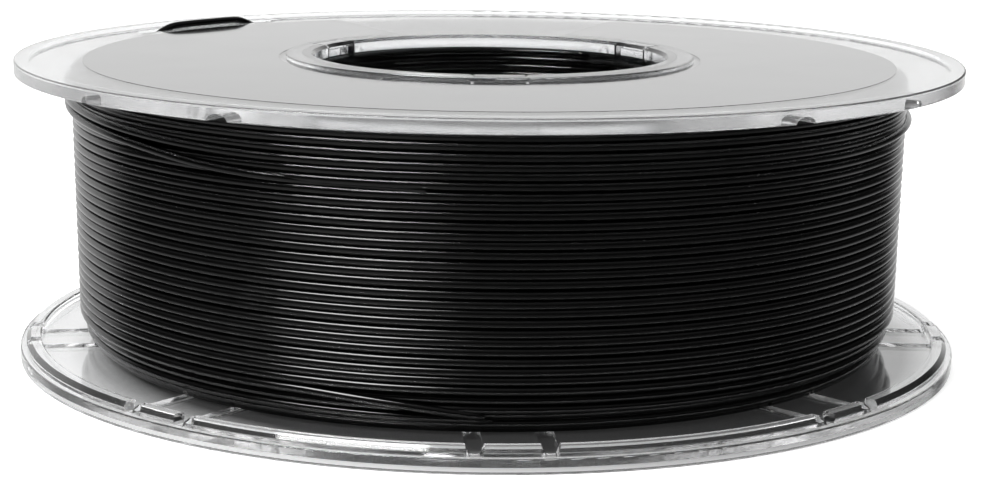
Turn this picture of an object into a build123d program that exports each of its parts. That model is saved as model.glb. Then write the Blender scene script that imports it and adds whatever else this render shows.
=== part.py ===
"""A clear plastic 1 kg filament spool, fully wound with black 1.75 mm filament.

The origin is the centre of the lower flange's outer face and +Z is the spool's axis, in millimetres.
Angles called bearings are in degrees from the front (-Y), positive towards +X.
"""

from build123d import *
import os
from math import cos, pi, radians, sin, tan

os.makedirs("parts", exist_ok=True)

# Driving dimensions
spool_radius = 100.0
spool_width = 63.0
bore_radius = 37.5
hub_radius = 40.0
filament_diameter = 1.75
winding_radius = 88.0
turns_per_layer = 32

# Flange section
web_thickness = 2.1
web_recess = 0.8  # the outer face lies this far behind the land and the lip
land_width = 3.0
lip_radius = 43.6
edge_round = 0.3
hub_clearance = 0.05
web_inner = web_recess + web_thickness

# Bead that runs round the lower flange's inner face, a little inside its edge
bead_outer = 98.7
bead_inner = 95.6
bead_height = 1.7
bead_chamfer = 0.9

# Grooves in the lower flange: pairs, closer together over the front than over the back
pair_spacing = 13.4
groove_width = 3.3
groove_depth = 0.9
groove_start = 78.0
notch_width = 1.8  # at the bottom of the V where a groove goes on through the bead
front_pitch = 41.5
front_pairs = 5
back_pairs = 4
back_pitch = (360 - (front_pairs - 1) * front_pitch) / (back_pairs + 1)

# Channels in the upper flange's inner face: pairs of one wide and one narrow channel
channel_offset = 10.0
channel_start = 92.5
wide_channel = 4.5
narrow_channel = 1.6
channel_depth = 1.4

# Hub snaps
snap_count = 3
snap_width = 10.0
snap_slot = 0.6
snap_slot_depth = 9.0
snap_hook_radius = 41.4
snap_hook_height = 1.3
snap_clearance = 0.15
hub_chamfer = 0.7

# Label on the upper flange
label_inner = 45.0
label_outer = 86.0
label_thickness = 0.2
label_gap = 46.0
label_corner = 1.5

# Winding
side_gap = 0.1  # between the winding and each flange
layer_pitch = filament_diameter * cos(radians(30))
winding_bottom = web_inner + side_gap
winding_width = spool_width - 2 * winding_bottom
turn_pitch = winding_width / turns_per_layer
missing_turns = 5  # the last layer stops this many turns short of the lower flange
missing_under_turns = 2
last_layer_inner = winding_radius - layer_pitch
under_layer_inner = last_layer_inner - layer_pitch
first_layer_inner = hub_radius + side_gap
first_layer_outer = first_layer_inner + layer_pitch

# Free end of the filament, threaded through two slots near the upper flange's edge
web_top = spool_width - web_recess
web_underside = spool_width - web_inner
slot_reach = 91.3
slot_length = 11.0
slot_width = 3.6
slot_bearings = (-123.4, -143.5)
slot_lead = 2.4  # bearing from a slot's middle to where the filament starts to bend into it
filament_radius = filament_diameter / 2
tail_clear = winding_radius + filament_radius + 0.55  # keeps the corners' arcs clear of the turns
lying_height = web_top + filament_radius + 0.1
hanging_height = web_underside - filament_radius - 0.4
tail_route = [  # bearing, radius, height
    (-14.0, tail_clear, 48.0),
    (-26.0, tail_clear, 48.3),
    (-38.0, tail_clear, 49.4),
    (-50.0, tail_clear, 51.2),
    (-62.0, tail_clear, 52.3),
    (-74.0, tail_clear, 53.2),
    (-86.0, tail_clear, 54.4),
    (-98.0, tail_clear, 55.8),
    (-109.0, tail_clear + 0.6, 57.2),
    (slot_bearings[0] + 3 * slot_lead, slot_reach - 0.3, hanging_height - 0.9),
    (slot_bearings[0] + slot_lead, slot_reach, hanging_height),
    (slot_bearings[0] - slot_lead, slot_reach, lying_height),
    (-130.5, slot_reach - 1.0, lying_height),
    (-134.5, slot_reach - 1.2, lying_height + 0.3),
    (-138.0, slot_reach - 0.8, lying_height + 0.3),
    (slot_bearings[1] + slot_lead, slot_reach, lying_height),
    (slot_bearings[1] - slot_lead, slot_reach, hanging_height),
    (slot_bearings[1] - 2.5 * slot_lead, slot_reach + 0.3, hanging_height - 3.5),
    (slot_bearings[1] - 3.5 * slot_lead, slot_reach + 0.5, hanging_height - 7.5),
]


def on_bearing(bearing, radius, height=0.0):
    """The point at a bearing from the front, a radius from the axis and a height."""
    return Vector(radius * sin(radians(bearing)), -radius * cos(radians(bearing)), height)


def radial_section(bearing, height):
    """A plane through the axis that faces outward along a bearing, with +Y up."""
    outward = on_bearing(bearing, 1)
    return Plane(origin=(0, 0, height), x_dir=Vector(0, 0, 1).cross(outward), z_dir=outward)


def pair_bearings():
    """Bearings of the groove pairs, from the left side round the front and the back."""
    first = -front_pitch * (front_pairs - 1) / 2
    front = [first + front_pitch * step for step in range(front_pairs)]
    return front + [front[-1] + back_pitch * (step + 1) for step in range(back_pairs)]


def flange_blank():
    """One flange lying on its outer face: land at the edge, recessed web and the lip round the hub."""
    hole = hub_radius + hub_clearance
    with BuildPart() as blank:
        with BuildSketch(Plane.XZ):
            with BuildLine():
                Polyline(
                    (hole, 0),
                    (lip_radius, 0),
                    (lip_radius, web_recess),
                    (spool_radius - land_width, web_recess),
                    (spool_radius - land_width, 0),
                    (spool_radius, 0),
                    (spool_radius, web_inner),
                    (hole, web_inner),
                    close=True,
                )
            make_face()
        revolve(axis=Axis.Z)
        rim = blank.edges().filter_by(GeomType.CIRCLE).filter_by(lambda e: e.radius > spool_radius - 0.01)
        fillet(rim, radius=edge_round)
        lip = blank.edges().filter_by(GeomType.CIRCLE).filter_by(
            lambda e: abs(e.radius - lip_radius) < 0.01 and abs(e.center().Z) < 0.01
        )
        fillet(lip, radius=edge_round)
    return blank.part


def turn_ring(bare_radius, crest_radius, missing):
    """A layer of turns as one ring: plain at bare_radius, and rounded turn by turn up to crest_radius."""
    turns = turns_per_layer - missing
    bottom = winding_bottom + missing * turn_pitch
    top = bottom + turns * turn_pitch
    bulge = 1 if crest_radius > bare_radius else -1
    valley_radius = crest_radius - bulge * filament_radius
    with BuildPart() as ring:
        with BuildSketch(Plane.XZ):
            with BuildLine():
                Polyline((valley_radius, top), (bare_radius, top), (bare_radius, bottom), (valley_radius, bottom))
                for turn in range(turns):
                    low = bottom + turn * turn_pitch
                    ThreePointArc(
                        (valley_radius, low),
                        (crest_radius, low + turn_pitch / 2),
                        (valley_radius, low + turn_pitch),
                    )
            make_face()
        revolve(axis=Axis.Z)
    return ring.part


def corner_radii(points):
    """The largest arcs that the runs of a polyline leave room for, one for each inner corner."""
    radii = []
    for before, corner, after in zip(points, points[1:], points[2:]):
        half_turn = radians((corner - before).get_angle(after - corner)) / 2
        shorter = min((corner - before).length, (after - corner).length)
        radii.append(0.45 * shorter / tan(half_turn))
    return radii


# Lower flange: a bead near its edge, and pairs of radial grooves that go on through the bead as notches
with BuildPart() as lower_flange:
    add(flange_blank())
    with BuildSketch(Plane.XY.offset(web_inner - edge_round)):
        Circle(bead_outer)
        Circle(bead_inner, mode=Mode.SUBTRACT)
    extrude(amount=edge_round + bead_height)
    crest = lower_flange.edges().filter_by(GeomType.CIRCLE).group_by(Axis.Z)[-1].sort_by(SortBy.RADIUS)
    fillet(crest[0], radius=edge_round)
    chamfer(crest[-1], length=bead_chamfer)
    for bearing in pair_bearings():
        for side in (-1, 1):
            on_web = Location((0, 0, 0), (0, 0, bearing - 90))
            groove_middle = (groove_start + bead_inner) / 2
            with BuildSketch(Plane.XY.offset(web_inner - groove_depth)):
                with Locations(on_web):
                    with Locations((groove_middle, side * pair_spacing / 2)):
                        SlotOverall(bead_inner - groove_start + groove_width / 2, groove_width)
            extrude(amount=groove_depth + 2 * bead_height, mode=Mode.SUBTRACT)
            half_notch = notch_width / 2
            with BuildSketch(radial_section(bearing, web_inner).offset(bead_inner - groove_width / 2)):
                with Locations((side * pair_spacing / 2, 0)):
                    Polygon(
                        (-half_notch, 0),
                        (half_notch, 0),
                        (half_notch + bead_height, 2 * bead_height),
                        (-half_notch - bead_height, 2 * bead_height),
                        align=None,
                    )
            extrude(amount=spool_radius, mode=Mode.SUBTRACT)
lower_flange.part.label = "lower_flange"
export_step(lower_flange.part, "parts/lower_flange.step")

# Upper flange: the same blank turned over, with channels, threading slots and pockets for the hub's snaps
channel_pairs = [side * front_pitch + turn for side in (-1, 1) for turn in (0, 180)]
with BuildPart() as upper_flange:
    with Locations(Location((0, 0, spool_width), (180, 0, 0))):
        add(flange_blank())
    for bearing in channel_pairs:
        inward = 1 if sin(radians(bearing)) * cos(radians(bearing)) < 0 else -1
        for side, width in ((inward, wide_channel), (-inward, narrow_channel)):
            section = radial_section(bearing + side * channel_offset, web_underside)
            with BuildSketch(section.offset(channel_start)):
                Ellipse(width / 2, channel_depth)
            extrude(amount=spool_radius, mode=Mode.SUBTRACT)
    with BuildSketch(Plane.XY.offset(web_top)):
        for bearing in slot_bearings:
            with Locations(Location(on_bearing(bearing, slot_reach), (0, 0, bearing))):
                SlotOverall(slot_length, slot_width)
    extrude(amount=web_inner, both=True, mode=Mode.SUBTRACT)
    pocket_floor = spool_width - snap_hook_height - snap_clearance
    with BuildSketch(Plane.XY.offset(pocket_floor)):
        with PolarLocations(hub_radius, snap_count, start_angle=-90):
            Rectangle(
                2 * (snap_hook_radius + snap_clearance - hub_radius),
                snap_width + 2 * snap_clearance,
            )
    extrude(amount=spool_width, mode=Mode.SUBTRACT)
upper_flange.part.label = "upper_flange"
export_step(upper_flange.part, "parts/upper_flange.step")

# Hub barrel: a thin tube whose upper end is slit into three snap tongues with hooks
with BuildPart() as hub_barrel:
    with BuildSketch():
        Circle(hub_radius)
        Circle(bore_radius, mode=Mode.SUBTRACT)
    extrude(amount=spool_width)
    bore_ends = hub_barrel.edges().filter_by(GeomType.CIRCLE).filter_by(lambda e: e.radius < bore_radius + 0.01)
    chamfer(bore_ends, length=hub_chamfer)
    with BuildSketch(Plane.XY.offset(spool_width - snap_hook_height)):
        Circle(snap_hook_radius)
        Circle(hub_radius - hub_clearance, mode=Mode.SUBTRACT)
        with PolarLocations(hub_radius, snap_count, start_angle=-90):
            Rectangle(hub_radius / 2, snap_width, mode=Mode.INTERSECT)
    extrude(amount=snap_hook_height)
    with BuildSketch(Plane.XY.offset(spool_width - snap_slot_depth)):
        with PolarLocations(hub_radius, snap_count, start_angle=-90):
            with Locations((0, (snap_width + snap_slot) / 2), (0, -(snap_width + snap_slot) / 2)):
                Rectangle(hub_radius / 4, snap_slot)
    extrude(amount=spool_width, mode=Mode.SUBTRACT)
hub_barrel.part.label = "hub_barrel"
export_step(hub_barrel.part, "parts/hub_barrel.step")

# Label: a plain C-shaped sticker that leaves a viewing gap at the back
with BuildPart() as flange_label:
    with BuildSketch(Plane.XY.offset(web_top)) as label_outline:
        Circle(label_outer)
        Circle(label_inner, mode=Mode.SUBTRACT)
        with BuildLine():
            gap_left = on_bearing(180 - label_gap / 2, 2 * label_outer)
            gap_right = on_bearing(180 + label_gap / 2, 2 * label_outer)
            Polyline((0, 0), gap_left, gap_right, close=True)
        make_face(mode=Mode.SUBTRACT)
        fillet(label_outline.vertices(), radius=label_corner)
    extrude(amount=label_thickness)
flange_label.part.label = "flange_label"
export_step(flange_label.part, "parts/flange_label.step")

# Winding, layer by layer: the first turns show through the hub, the last two layers at the outside
with BuildPart() as filament_first_layer:
    add(turn_ring(first_layer_outer, first_layer_inner, 0))
filament_first_layer.part.label = "filament_first_layer"
export_step(filament_first_layer.part, "parts/filament_first_layer.step")

with BuildPart() as filament_buried_layers:
    with BuildSketch(Plane.XY.offset(winding_bottom)):
        Circle(under_layer_inner)
        Circle(first_layer_outer, mode=Mode.SUBTRACT)
    extrude(amount=winding_width)
filament_buried_layers.part.label = "filament_buried_layers"
export_step(filament_buried_layers.part, "parts/filament_buried_layers.step")

with BuildPart() as filament_under_layer:
    add(turn_ring(under_layer_inner, last_layer_inner, missing_under_turns))
filament_under_layer.part.label = "filament_under_layer"
export_step(filament_under_layer.part, "parts/filament_under_layer.step")

with BuildPart() as filament_last_layer:
    add(turn_ring(last_layer_inner, winding_radius, missing_turns))
filament_last_layer.part.label = "filament_last_layer"
export_step(filament_last_layer.part, "parts/filament_last_layer.step")

# Free end: it leaves the last turn, climbs to the first slot, crosses the upper face and goes back down
tail_points = [on_bearing(*stop) for stop in tail_route]
tail_radii = corner_radii(tail_points)
with BuildPart() as filament_tail:
    with BuildLine() as tail_line:
        FilletPolyline(*tail_points, radius=tail_radii)
    with BuildSketch(Plane(origin=tail_line.line @ 0, z_dir=tail_line.line % 0)):
        Circle(filament_radius)
    sweep()
filament_tail.part.label = "filament_tail"
export_step(filament_tail.part, "parts/filament_tail.step")

section_area = pi * filament_radius**2
tail_length = tail_line.wire().length
print("tail radii", [round(radius, 1) for radius in tail_radii])
print("tail length", round(tail_length, 1))
print("tail volume over section times length", round(filament_tail.part.volume / (section_area * tail_length), 4))
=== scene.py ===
"""A clear filament spool, fully wound with black filament, standing on a pale floor."""

import math

import bpy
import numpy as np
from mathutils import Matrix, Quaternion, Vector


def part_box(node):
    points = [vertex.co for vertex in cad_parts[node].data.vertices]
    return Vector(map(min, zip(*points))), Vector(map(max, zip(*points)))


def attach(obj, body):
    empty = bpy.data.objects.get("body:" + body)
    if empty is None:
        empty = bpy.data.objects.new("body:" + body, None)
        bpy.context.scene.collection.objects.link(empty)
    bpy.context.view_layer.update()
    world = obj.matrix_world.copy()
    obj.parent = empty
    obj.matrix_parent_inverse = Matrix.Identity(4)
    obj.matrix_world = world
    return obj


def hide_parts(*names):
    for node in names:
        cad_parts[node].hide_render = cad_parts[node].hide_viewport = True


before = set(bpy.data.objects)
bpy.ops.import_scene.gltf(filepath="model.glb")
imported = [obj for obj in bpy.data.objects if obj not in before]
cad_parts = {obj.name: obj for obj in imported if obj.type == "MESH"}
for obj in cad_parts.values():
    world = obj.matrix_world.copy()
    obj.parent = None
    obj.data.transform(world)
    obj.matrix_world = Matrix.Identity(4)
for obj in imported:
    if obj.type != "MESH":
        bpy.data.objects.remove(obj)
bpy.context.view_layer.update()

MM = 0.001
BODY = "root"
rng = np.random.default_rng(7)

# Sizes from the frame, in metres
last_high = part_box("filament_last_layer")[1]
under_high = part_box("filament_under_layer")[1]
buried_low, buried_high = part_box("filament_buried_layers")
upper_low, upper_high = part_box("upper_flange")
label_low, label_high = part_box("flange_label")
spool_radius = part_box("lower_flange")[1].x
hub_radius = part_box("hub_barrel")[1].x
winding_bottom = buried_low.z
winding_top = buried_high.z

# Sizes that no box gives, the same as in the CAD
filament_radius = 1.75 * MM / 2
hub_gap = 0.1 * MM  # between the hub and its first turns
turns_per_layer = 32
turn_pitch = (winding_top - winding_bottom) / turns_per_layer
layer_pitch = last_high.x - under_high.x
label_inner = 45 * MM
label_half_gap = 23  # degrees
label_corner = 1.5 * MM


# Materials ---------------------------------------------------------------------------------------


def new_material(name):
    """A material with its Principled shader, ready for texture nodes."""
    material = bpy.data.materials.new(name)
    material.use_nodes = True
    return material, material.node_tree, material.node_tree.nodes["Principled BSDF"]


def add_node(tree, kind, **inputs):
    """A node whose named inputs are set; underscores in the names stand for spaces."""
    node = tree.nodes.new(kind)
    for name, value in inputs.items():
        node.inputs[name.replace("_", " ")].default_value = value
    return node


def noise(tree, scale, detail=3.0):
    """Noise over object coordinates."""
    coordinates = tree.nodes.new("ShaderNodeTexCoord")
    texture = add_node(tree, "ShaderNodeTexNoise", Scale=scale, Detail=detail)
    tree.links.new(coordinates.outputs["Object"], texture.inputs["Vector"])
    return texture.outputs["Fac"]


def spread(tree, value, low, high):
    """The 0.3 to 0.7 range of a noise, spread between two values."""
    node = add_node(tree, "ShaderNodeMapRange", From_Min=0.3, From_Max=0.7, To_Min=low, To_Max=high)
    tree.links.new(value, node.inputs["Value"])
    return node.outputs["Result"]


def distance_from(tree, point):
    """The distance of a surface point from a fixed point, in object coordinates."""
    coordinates = tree.nodes.new("ShaderNodeTexCoord")
    reach = tree.nodes.new("ShaderNodeVectorMath")
    reach.operation = "DISTANCE"
    reach.inputs[1].default_value = point
    tree.links.new(coordinates.outputs["Object"], reach.inputs[0])
    return reach.outputs["Value"]


def bump(tree, shader, height, distance, strength):
    """Links a height to the shader's normal as bump."""
    node = add_node(tree, "ShaderNodeBump", Strength=strength, Distance=distance)
    tree.links.new(height, node.inputs["Height"])
    tree.links.new(node.outputs["Normal"], shader.inputs["Normal"])


def clear_plastic(name, clearness, smoothest, roughest):
    """Moulded clear polystyrene: high gloss, faint flow waves and uneven roughness."""
    material, tree, shader = new_material(name)
    shader.inputs["Base Color"].default_value = (0.95, 0.955, 0.96, 1)
    shader.inputs["Transmission Weight"].default_value = clearness
    shader.inputs["IOR"].default_value = 1.58
    tree.links.new(spread(tree, noise(tree, 90.0), smoothest, roughest), shader.inputs["Roughness"])
    bump(tree, shader, noise(tree, 60.0), 0.04 * MM, 0.5)
    return material


def hazier_rim(material, rim_clearness):
    """Lets the upper flange's plastic grow hazier towards its rim."""
    tree = material.node_tree
    reach = distance_from(tree, (0, 0, upper_high.z))
    clearness = add_node(
        tree,
        "ShaderNodeMapRange",
        From_Min=0.5 * spool_radius,
        From_Max=0.9 * spool_radius,
        To_Min=1.0,
        To_Max=rim_clearness,
    )
    tree.links.new(reach, clearness.inputs["Value"])
    shader = tree.nodes["Principled BSDF"]
    tree.links.new(clearness.outputs["Result"], shader.inputs["Transmission Weight"])


def black_filament():
    """Extruded black filament: dark, glossy, with a fine unevenness along the strand."""
    material, tree, shader = new_material("black_filament")
    tint = add_node(tree, "ShaderNodeMapRange", To_Min=0.0008, To_Max=0.0025)
    tree.links.new(noise(tree, 400.0), tint.inputs["Value"])
    tree.links.new(tint.outputs["Result"], shader.inputs["Base Color"])
    shader.inputs["IOR"].default_value = 1.5
    tree.links.new(spread(tree, noise(tree, 250.0), 0.12, 0.2), shader.inputs["Roughness"])
    bump(tree, shader, noise(tree, 1500.0, 2.0), 0.01 * MM, 0.4)
    return material


def label_sheet():
    """Plain dark label stock under a clear glossy film that lies a little unevenly."""
    material, tree, shader = new_material("label_sheet")
    tone = add_node(tree, "ShaderNodeMapRange", To_Min=0.02, To_Max=0.03)
    tree.links.new(noise(tree, 900.0), tone.inputs["Value"])
    tree.links.new(tone.outputs["Result"], shader.inputs["Base Color"])
    tree.links.new(spread(tree, noise(tree, 60.0), 0.07, 0.12), shader.inputs["Roughness"])
    shader.inputs["Coat Weight"].default_value = 0.55
    shader.inputs["Coat Roughness"].default_value = 0.05
    bump(tree, shader, noise(tree, 35.0, 1.0), 0.02 * MM, 0.3)
    return material


crystal = clear_plastic("crystal_clear_plastic", clearness=1.0, smoothest=0.02, roughest=0.06)
clear = clear_plastic("clear_plastic", clearness=0.97, smoothest=0.02, roughest=0.06)
hazy = clear_plastic("hazy_clear_plastic", clearness=1.0, smoothest=0.05, roughest=0.1)
hazier_rim(hazy, rim_clearness=0.88)
black = black_filament()
label = label_sheet()


# Strands -----------------------------------------------------------------------------------------


def smooth_mesh(name, points, faces):
    """A mesh with smooth shading."""
    mesh = bpy.data.meshes.new(name)
    mesh.from_pydata(points, [], faces)
    mesh.polygons.foreach_set("use_smooth", [True] * len(mesh.polygons))
    mesh.update()
    return mesh


def tube_mesh(name, path, radius, around=14):
    """A closed tube along a path of points (n x 3), with frames kept level with the axis."""
    path = np.asarray(path, float)
    along = np.gradient(path, axis=0)
    along /= np.linalg.norm(along, axis=1, keepdims=True)
    outward = path * (1, 1, 0)
    outward /= np.linalg.norm(outward, axis=1, keepdims=True)
    outward -= along * np.sum(outward * along, axis=1, keepdims=True)
    outward /= np.linalg.norm(outward, axis=1, keepdims=True)
    across = np.cross(along, outward)
    turn = np.linspace(0, 2 * math.pi, around, endpoint=False)
    ring = outward[:, None] * np.cos(turn)[None, :, None]
    ring += across[:, None] * np.sin(turn)[None, :, None]
    points = (path[:, None] + radius * ring).reshape(-1, 3)
    count = len(path)
    start = np.arange(count - 1)[:, None] * around
    step = np.arange(around)[None, :]
    following = (step + 1) % around
    ahead = start + around
    quads = np.stack([start + step, start + following, ahead + following, ahead + step], -1)
    faces = quads.reshape(-1, 4).tolist()
    faces.append(list(range(around))[::-1])
    faces.append(list(range((count - 1) * around, count * around)))
    return smooth_mesh(name, points.tolist(), faces)


def place(name, mesh, material):
    """A piece of the object: links the mesh, gives it its material and rides it on the body."""
    piece = bpy.data.objects.new(name, mesh)
    bpy.context.scene.collection.objects.link(piece)
    mesh.materials.append(material)
    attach(piece, BODY)
    return piece


def on_bearing(bearing, radius, height):
    """The point at a bearing in degrees from the front, positive towards +X."""
    angle = np.radians(bearing)
    point = np.broadcast_arrays(radius * np.sin(angle), -radius * np.cos(angle), height)
    return np.stack(point, axis=-1)


def wander(angles, size, waves=5):
    """A smooth random wave along the strand, built from a few slow sines."""
    total = np.zeros_like(angles)
    for _ in range(waves):
        strength = rng.normal()
        rate = rng.uniform(0.15, 1.3)
        phase = rng.uniform(0, 6.28)
        total += strength * np.sin(angles * rate + phase)
    return size * total / math.sqrt(waves)


def hump(values, middle, half):
    """A smooth hump of height 1 that falls to 0 at half to either side of its middle."""
    share = np.clip(np.abs(values - middle) / half, 0, 1)
    return 0.5 + 0.5 * np.cos(math.pi * share)


def wound_strand(radius, lowest, start, radial, axial, taper=0.0, dive=(0, 0, 1), loops=(), steps=180):
    """A layer's strand: it climbs from its lowest point to the top, turn by turn, towards falling bearings.

    start is the bearing of its lowest end, and radial and axial are the sizes of its unevenness.
    taper is how much its radius falls short at the bottom and stands out at the top.
    dive is how far the strand's start sinks inward and down, and over how many degrees it comes up.
    Each loop lifts a loose stretch off the layer: its height, bearing, half width, rise and reach.
    steps is the number of points in a turn.
    """
    turns = (winding_top - filament_radius - lowest) / turn_pitch
    run = np.linspace(0, turns, int(turns * steps) + 1)
    angles = 2 * math.pi * run
    height = lowest + turn_pitch * run
    reach = radius + wander(angles, radial) + taper * (2 * run / turns - 1)
    height += wander(angles, axial) * np.clip(4 * (turns - run), 0, 1)
    inward, downward, length = dive
    sunk = np.clip(1 - 360 * run / length, 0, 1)
    reach -= inward * sunk**2
    height -= downward * sunk**1.5
    for level, middle, half, rise, out in loops:
        turn = round((level - lowest) / turn_pitch + (middle - start) / 360)
        lift = hump(360 * run, 360 * turn + start - middle, half)
        reach += out * np.sqrt(lift)
        height += rise * lift
    return on_bearing(start - 360 * run, reach, height)


def wind(node, path):
    """Stands a wound strand in for a layer's plain ring."""
    piece = place(node + "_turns", tube_mesh(node, path, filament_radius), black)
    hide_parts(node)


# Loose stretches of the last layer: height, bearing, half width in degrees, rise and reach
left_loop = (53.0 * MM, -86, 58, 2.3 * MM, 1.5 * MM)
right_loop = (51.0 * MM, 88, 45, 1.7 * MM, 1.3 * MM)
wind(
    "filament_last_layer",
    wound_strand(
        radius=last_high.x - filament_radius,
        lowest=9.8 * MM,
        start=-3,
        radial=0.08 * MM,
        axial=0.09 * MM,
        taper=0.5 * MM,
        dive=(1.2 * MM, 3.3 * MM, 24),
        loops=[left_loop, right_loop],
    ),
)
wind(
    "filament_under_layer",
    wound_strand(
        radius=under_high.x - filament_radius,
        lowest=6.0 * MM,
        start=-2,
        radial=0.05 * MM,
        axial=0.05 * MM,
        taper=0.3 * MM,
        dive=(1.0 * MM, 0.4 * MM, 20),
    ),
)
wind(
    "filament_first_layer",
    wound_strand(
        radius=hub_radius + hub_gap + filament_radius,
        lowest=winding_bottom + filament_radius,
        start=150,
        radial=0.02 * MM,
        axial=0.03 * MM,
    ),
)


def lathe(name, profile, bearings, lift):
    """A closed ring turned from a profile of (radius, height, share of lift) points.

    lift holds a lift for each bearing and point of the profile.
    """
    profile = np.asarray(profile, float)
    reach = np.repeat(profile[None, :, 0], len(bearings), 0)
    height = profile[None, :, 1] + profile[None, :, 2] * lift
    points = on_bearing(np.asarray(bearings)[:, None], reach, height).reshape(-1, 3)
    around, across = len(bearings), len(profile)
    ring = np.arange(around)[:, None] * across
    ahead = (np.arange(around)[:, None] + 1) % around * across
    step = np.arange(across)[None, :]
    following = (step + 1) % across
    quads = np.stack([ring + step, ring + following, ahead + following, ahead + step], -1)
    return smooth_mesh(name, points.tolist(), quads.reshape(-1, 4).tolist())


def scallops(start, end, count, arc_steps=6):
    """Half-round turns side by side from start to end, as pairs of position and bulge (0 to 1)."""
    pitch = (end - start) / count
    turn = np.linspace(0, math.pi, arc_steps, endpoint=False)
    for index in range(count):
        centre = start + (index + 0.5) * pitch
        yield from zip(centre - pitch / 2 * np.cos(turn), np.sin(turn))


def buried_layers():
    """The layers between, as one ring whose ends and outside show the turns of its strand."""
    inner = hub_radius + hub_gap + 2 * filament_radius
    outer = buried_high.x - filament_radius
    low = winding_bottom + filament_radius
    high = winding_top - filament_radius
    layers = round((outer - inner) / layer_pitch)
    underside = scallops(inner, outer, layers)
    side = scallops(low, high, turns_per_layer - 1)
    top = scallops(outer, inner, layers)
    profile = [(radius, low - filament_radius * bulge, 1) for radius, bulge in underside]
    profile += [(outer + filament_radius * bulge, height, 0) for height, bulge in side]
    profile += [(radius, high + filament_radius * bulge, 1) for radius, bulge in top]
    profile.append((inner, high, 1))
    bearings = np.linspace(0, 360, 180, endpoint=False)
    layer_of = [int((radius - inner) / (outer - inner) * layers) for radius, _, _ in profile]
    unevenness = 0.12 * MM
    settling = np.array([wander(np.radians(bearings), unevenness) for _ in range(layers + 2)])
    settling = np.abs(settling * hump(bearings, 180, 180))
    middle = (low + high) / 2
    inward = np.array([1 if height < middle else -1 for _, height, _ in profile])
    mesh = lathe("buried", profile, bearings, settling[layer_of].T * inward)
    piece = place("filament_buried_turns", mesh, black)
    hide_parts("filament_buried_layers")


buried_layers()


def threaded_tail():
    """The strand's free end: out of the last layer, up through one slot and down through the next."""
    clear_reach = last_high.x + filament_radius + 0.55 * MM
    web_top = label_low.z
    lying = web_top + filament_radius
    hanging = upper_low.z - filament_radius - 0.4 * MM
    slot_reach = 91.3 * MM
    first_slot, second_slot = -123.4, -143.5
    lead = 2.4  # bearing from a slot's middle to where the strand starts to bend into it
    stops = [  # bearing, radius, height
        (-10, last_high.x - 0.5 * MM, 48.3 * MM),
        (-24, last_high.x + 0.1 * MM, 48.6 * MM),
        (-38, clear_reach - 0.5 * MM, 49.5 * MM),
        (-50, clear_reach - 0.4 * MM, 51.3 * MM),
        (-62, clear_reach - 0.3 * MM, 52.3 * MM),
        (-74, clear_reach, 53.2 * MM),
        (-86, clear_reach, 54.4 * MM),
        (-98, clear_reach, 55.8 * MM),
        (-109, clear_reach + 0.6 * MM, 57.2 * MM),
        (first_slot + 3 * lead, slot_reach - 0.3 * MM, hanging - 0.9 * MM),
        (first_slot + lead, slot_reach, hanging),
        (first_slot - lead, slot_reach, lying - 0.3 * MM),
        (-130.5, slot_reach - 1.0 * MM, lying),
        (-134.5, slot_reach - 1.2 * MM, lying),
        (-138, slot_reach - 0.8 * MM, lying),
        (second_slot + lead, slot_reach, lying - 0.2 * MM),
        (second_slot - lead, slot_reach, hanging),
        (second_slot - 2.5 * lead, slot_reach + 0.3 * MM, hanging - 3.5 * MM),
        (second_slot - 3.5 * lead, slot_reach + 0.5 * MM, hanging - 7.5 * MM),
    ]
    points = [on_bearing(*stop) for stop in stops]
    curve = bpy.data.curves.new("filament_tail_strand", "CURVE")
    curve.dimensions = "3D"
    curve.bevel_depth = filament_radius
    curve.bevel_resolution = 4
    curve.resolution_u = 12
    curve.use_fill_caps = True
    spline = curve.splines.new("NURBS")
    spline.points.add(len(points) - 1)
    for control, point in zip(spline.points, points):
        control.co = (*point, 1)
    spline.order_u = 3
    spline.use_endpoint_u = True
    curve.materials.append(black)
    piece = bpy.data.objects.new("filament_tail_strand", curve)
    bpy.context.scene.collection.objects.link(piece)
    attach(piece, BODY)
    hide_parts("filament_tail")


threaded_tail()


# Carried-over nodes ------------------------------------------------------------------------------


def dress(node, material):
    """Gives a CAD node its material."""
    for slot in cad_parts[node].material_slots:
        slot.material = material


dress("lower_flange", clear)
dress("hub_barrel", crystal)
dress("upper_flange", hazy)


def label_film():
    """The label: a thin C-shaped film that lies on the web with a trace of air under it."""
    low, high = label_low.z + 0.02 * MM, label_low.z + 0.05 * MM
    bearings = np.linspace(label_half_gap - 180, 180 - label_half_gap, 181)
    outline = []
    for radius, sign in ((label_high.x, -1), (label_inner, 1)):
        turn = np.degrees(label_corner / radius)
        quarter = np.linspace(math.pi / 2, 0, 6)
        along = turn * (1 - np.sin(quarter))
        reach = radius + sign * label_corner * (1 - np.cos(quarter))
        start = list(zip(bearings[0] + along, reach))
        middle = [(bearing, radius) for bearing in bearings[2:-2]]
        end = list(zip(bearings[-1] - along[::-1], reach[::-1]))
        side = start + middle + end
        outline += side if sign < 0 else side[::-1]
    count = len(outline)
    half = count // 2
    around, reach = np.transpose(outline)
    points = np.concatenate([on_bearing(around, reach, low), on_bearing(around, reach, high)]).tolist()
    faces = []
    for step in range(half - 1):
        inside = count - 1 - step
        faces.append((step, step + 1, inside - 1, inside))
        faces.append((count + inside, count + inside - 1, count + step + 1, count + step))
    for step in range(count):
        following = (step + 1) % count
        faces.append((following, step, count + step, count + following))
    mesh = bpy.data.meshes.new("label_film")
    mesh.from_pydata(points, [], faces)
    mesh.update()
    piece = place("flange_label_film", mesh, label)
    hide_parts("flange_label")


label_film()


# Stage -------------------------------------------------------------------------------------------


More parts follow.
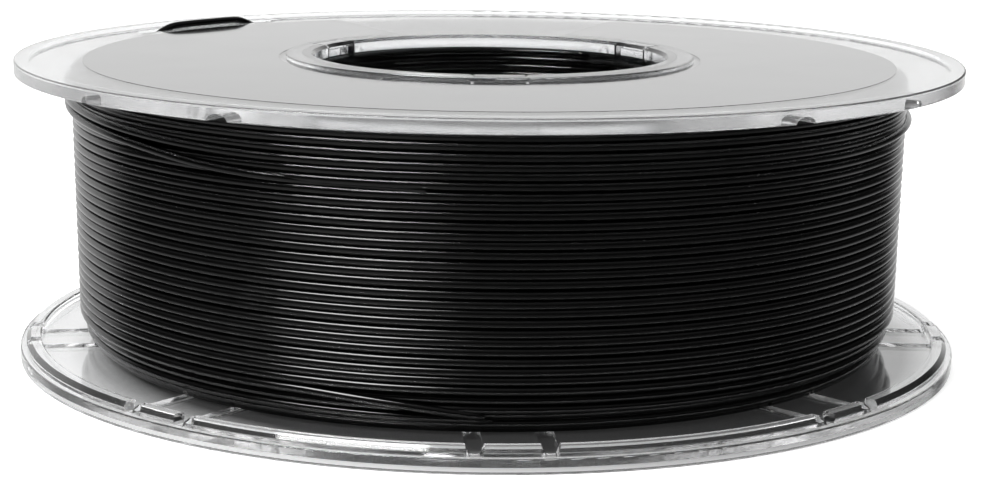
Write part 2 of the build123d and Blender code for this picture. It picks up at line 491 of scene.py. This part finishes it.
def floor():
    """A pale floor that glows bright enough to meet the white background, its glow cut low under the spool
    as a painted shadow.
    """
    mesh = bpy.data.meshes.new("floor")
    half = 3.0
    below = -0.05 * MM  # clear of the lower flange's land, which lies at height 0
    corners = [(-half, -half, below), (half, -half, below), (half, half, below), (-half, half, below)]
    mesh.from_pydata(corners, [], [(0, 1, 2, 3)])
    plane = bpy.data.objects.new("floor", mesh)
    bpy.context.scene.collection.objects.link(plane)
    material, tree, shader = new_material("floor")
    shader.inputs["Base Color"].default_value = (0.9, 0.9, 0.9, 1)
    shader.inputs["Roughness"].default_value = 0.9
    shader.inputs["Specular IOR Level"].default_value = 0.0
    shader.inputs["Emission Color"].default_value = (1, 1, 1, 1)
    # Painted shadow: the floor's glow falls to almost nothing in a disc a little off the spool's middle, in
    # place of the spool's shade
    painted_shadow_middle = (5 * MM, -4 * MM, 0)
    glow = add_node(
        tree,
        "ShaderNodeMapRange",
        From_Min=0.84 * spool_radius,
        From_Max=0.95 * spool_radius,
        To_Min=0.012,
        To_Max=0.92,
    )
    tree.links.new(distance_from(tree, painted_shadow_middle), glow.inputs["Value"])
    tree.links.new(glow.outputs["Result"], shader.inputs["Emission Strength"])
    mesh.materials.append(material)
    plane.visible_glossy = False


def surroundings():
    """A white studio wall behind the object and dim surroundings elsewhere; plain white to the camera."""
    world = bpy.data.worlds.new("studio")
    bpy.context.scene.world = world
    world.use_nodes = True
    tree = world.node_tree
    background = tree.nodes["Background"]
    background.inputs["Color"].default_value = (1, 1, 1, 1)
    coordinates = tree.nodes.new("ShaderNodeTexCoord")

    def ramp(axis, start, end, low, high):
        """A smooth step between two levels along one direction."""
        share = tree.nodes.new("ShaderNodeVectorMath")
        share.operation = "DOT_PRODUCT"
        share.inputs[1].default_value = axis
        tree.links.new(coordinates.outputs["Generated"], share.inputs[0])
        node = add_node(tree, "ShaderNodeMapRange", From_Min=start, From_Max=end, To_Min=low, To_Max=high)
        node.interpolation_type = "SMOOTHSTEP"
        tree.links.new(share.outputs["Value"], node.inputs["Value"])
        return node.outputs["Result"]

    def combine(operation, first, second):
        """Arithmetic on two levels."""
        node = tree.nodes.new("ShaderNodeMath")
        node.operation = operation
        tree.links.new(first, node.inputs[0])
        tree.links.new(second, node.inputs[1])
        return node.outputs["Value"]

    wall_bearing = math.radians(190)
    wall = (math.sin(wall_bearing), -math.cos(wall_bearing), 0)
    behind = ramp(wall, 0.55, 0.84, 0.0, 0.9)
    table_left = ramp((-1, 0, 0), -0.2, 0.5, 0.12, 0.4)
    table_back = ramp((0, 1, 0), 0.0, 0.5, 0.12, 0.5)
    downward = ramp((0, 0, -1), 0.05, 0.5, 0.0, 1.0)
    table = combine("MULTIPLY", combine("MAXIMUM", table_left, table_back), downward)
    ceiling = ramp((0, 0, 1), 0.3, 0.7, 0.02, 0.15)
    level = combine("MAXIMUM", behind, combine("ADD", ceiling, table))
    path = tree.nodes.new("ShaderNodeLightPath")
    shown = combine("MAXIMUM", path.outputs["Is Camera Ray"], level)
    tree.links.new(shown, background.inputs["Strength"])


def softbox(name, location, target, width, height, power):
    """An area light that faces a point."""
    light = bpy.data.lights.new(name, "AREA")
    light.shape = "RECTANGLE"
    light.size, light.size_y = width, height
    light.energy = power
    lamp = bpy.data.objects.new(name, light)
    bpy.context.scene.collection.objects.link(lamp)
    lamp.location = location
    lamp.rotation_euler = (Vector(target) - Vector(location)).to_track_quat("-Z", "Y").to_euler()


def camera():
    """The camera, low and close in front of the spool, a little to its left."""
    view = bpy.data.cameras.new("camera")
    view.sensor_width = 36.0
    view.lens = 80.63
    view.shift_y = -0.05
    view.clip_start = 0.01
    eye = bpy.data.objects.new("camera", view)
    bpy.context.scene.collection.objects.link(eye)
    bearing, distance, height = math.radians(-2.89), 470.8 * MM, 115.6 * MM
    pitch, yaw, roll = math.radians(10.08), math.radians(-0.10), math.radians(0.69)
    eye.location = (distance * math.sin(bearing), -distance * math.cos(bearing), height)
    heading = bearing + yaw
    ahead = Vector((-math.sin(heading), math.cos(heading), 0)) * math.cos(pitch)
    look = (ahead - Vector((0, 0, math.sin(pitch)))).to_track_quat("-Z", "Y")
    eye.rotation_mode = "QUATERNION"
    eye.rotation_quaternion = look @ Quaternion((0, 0, 1), roll)
    bpy.context.scene.camera = eye


floor()
surroundings()
softbox("key", location=(-0.50, -0.40, 0.95), target=(0, 0, 0.03), width=0.55, height=0.55, power=15)
camera()
bpy.context.scene.view_settings.view_transform = "Standard"

# Light goes round inside the clear rims many times before it leaves them
light_paths = bpy.context.scene.cycles
light_paths.max_bounces = 40
light_paths.glossy_bounces = 32
light_paths.transmission_bounces = 32
light_paths.caustics_refractive = False
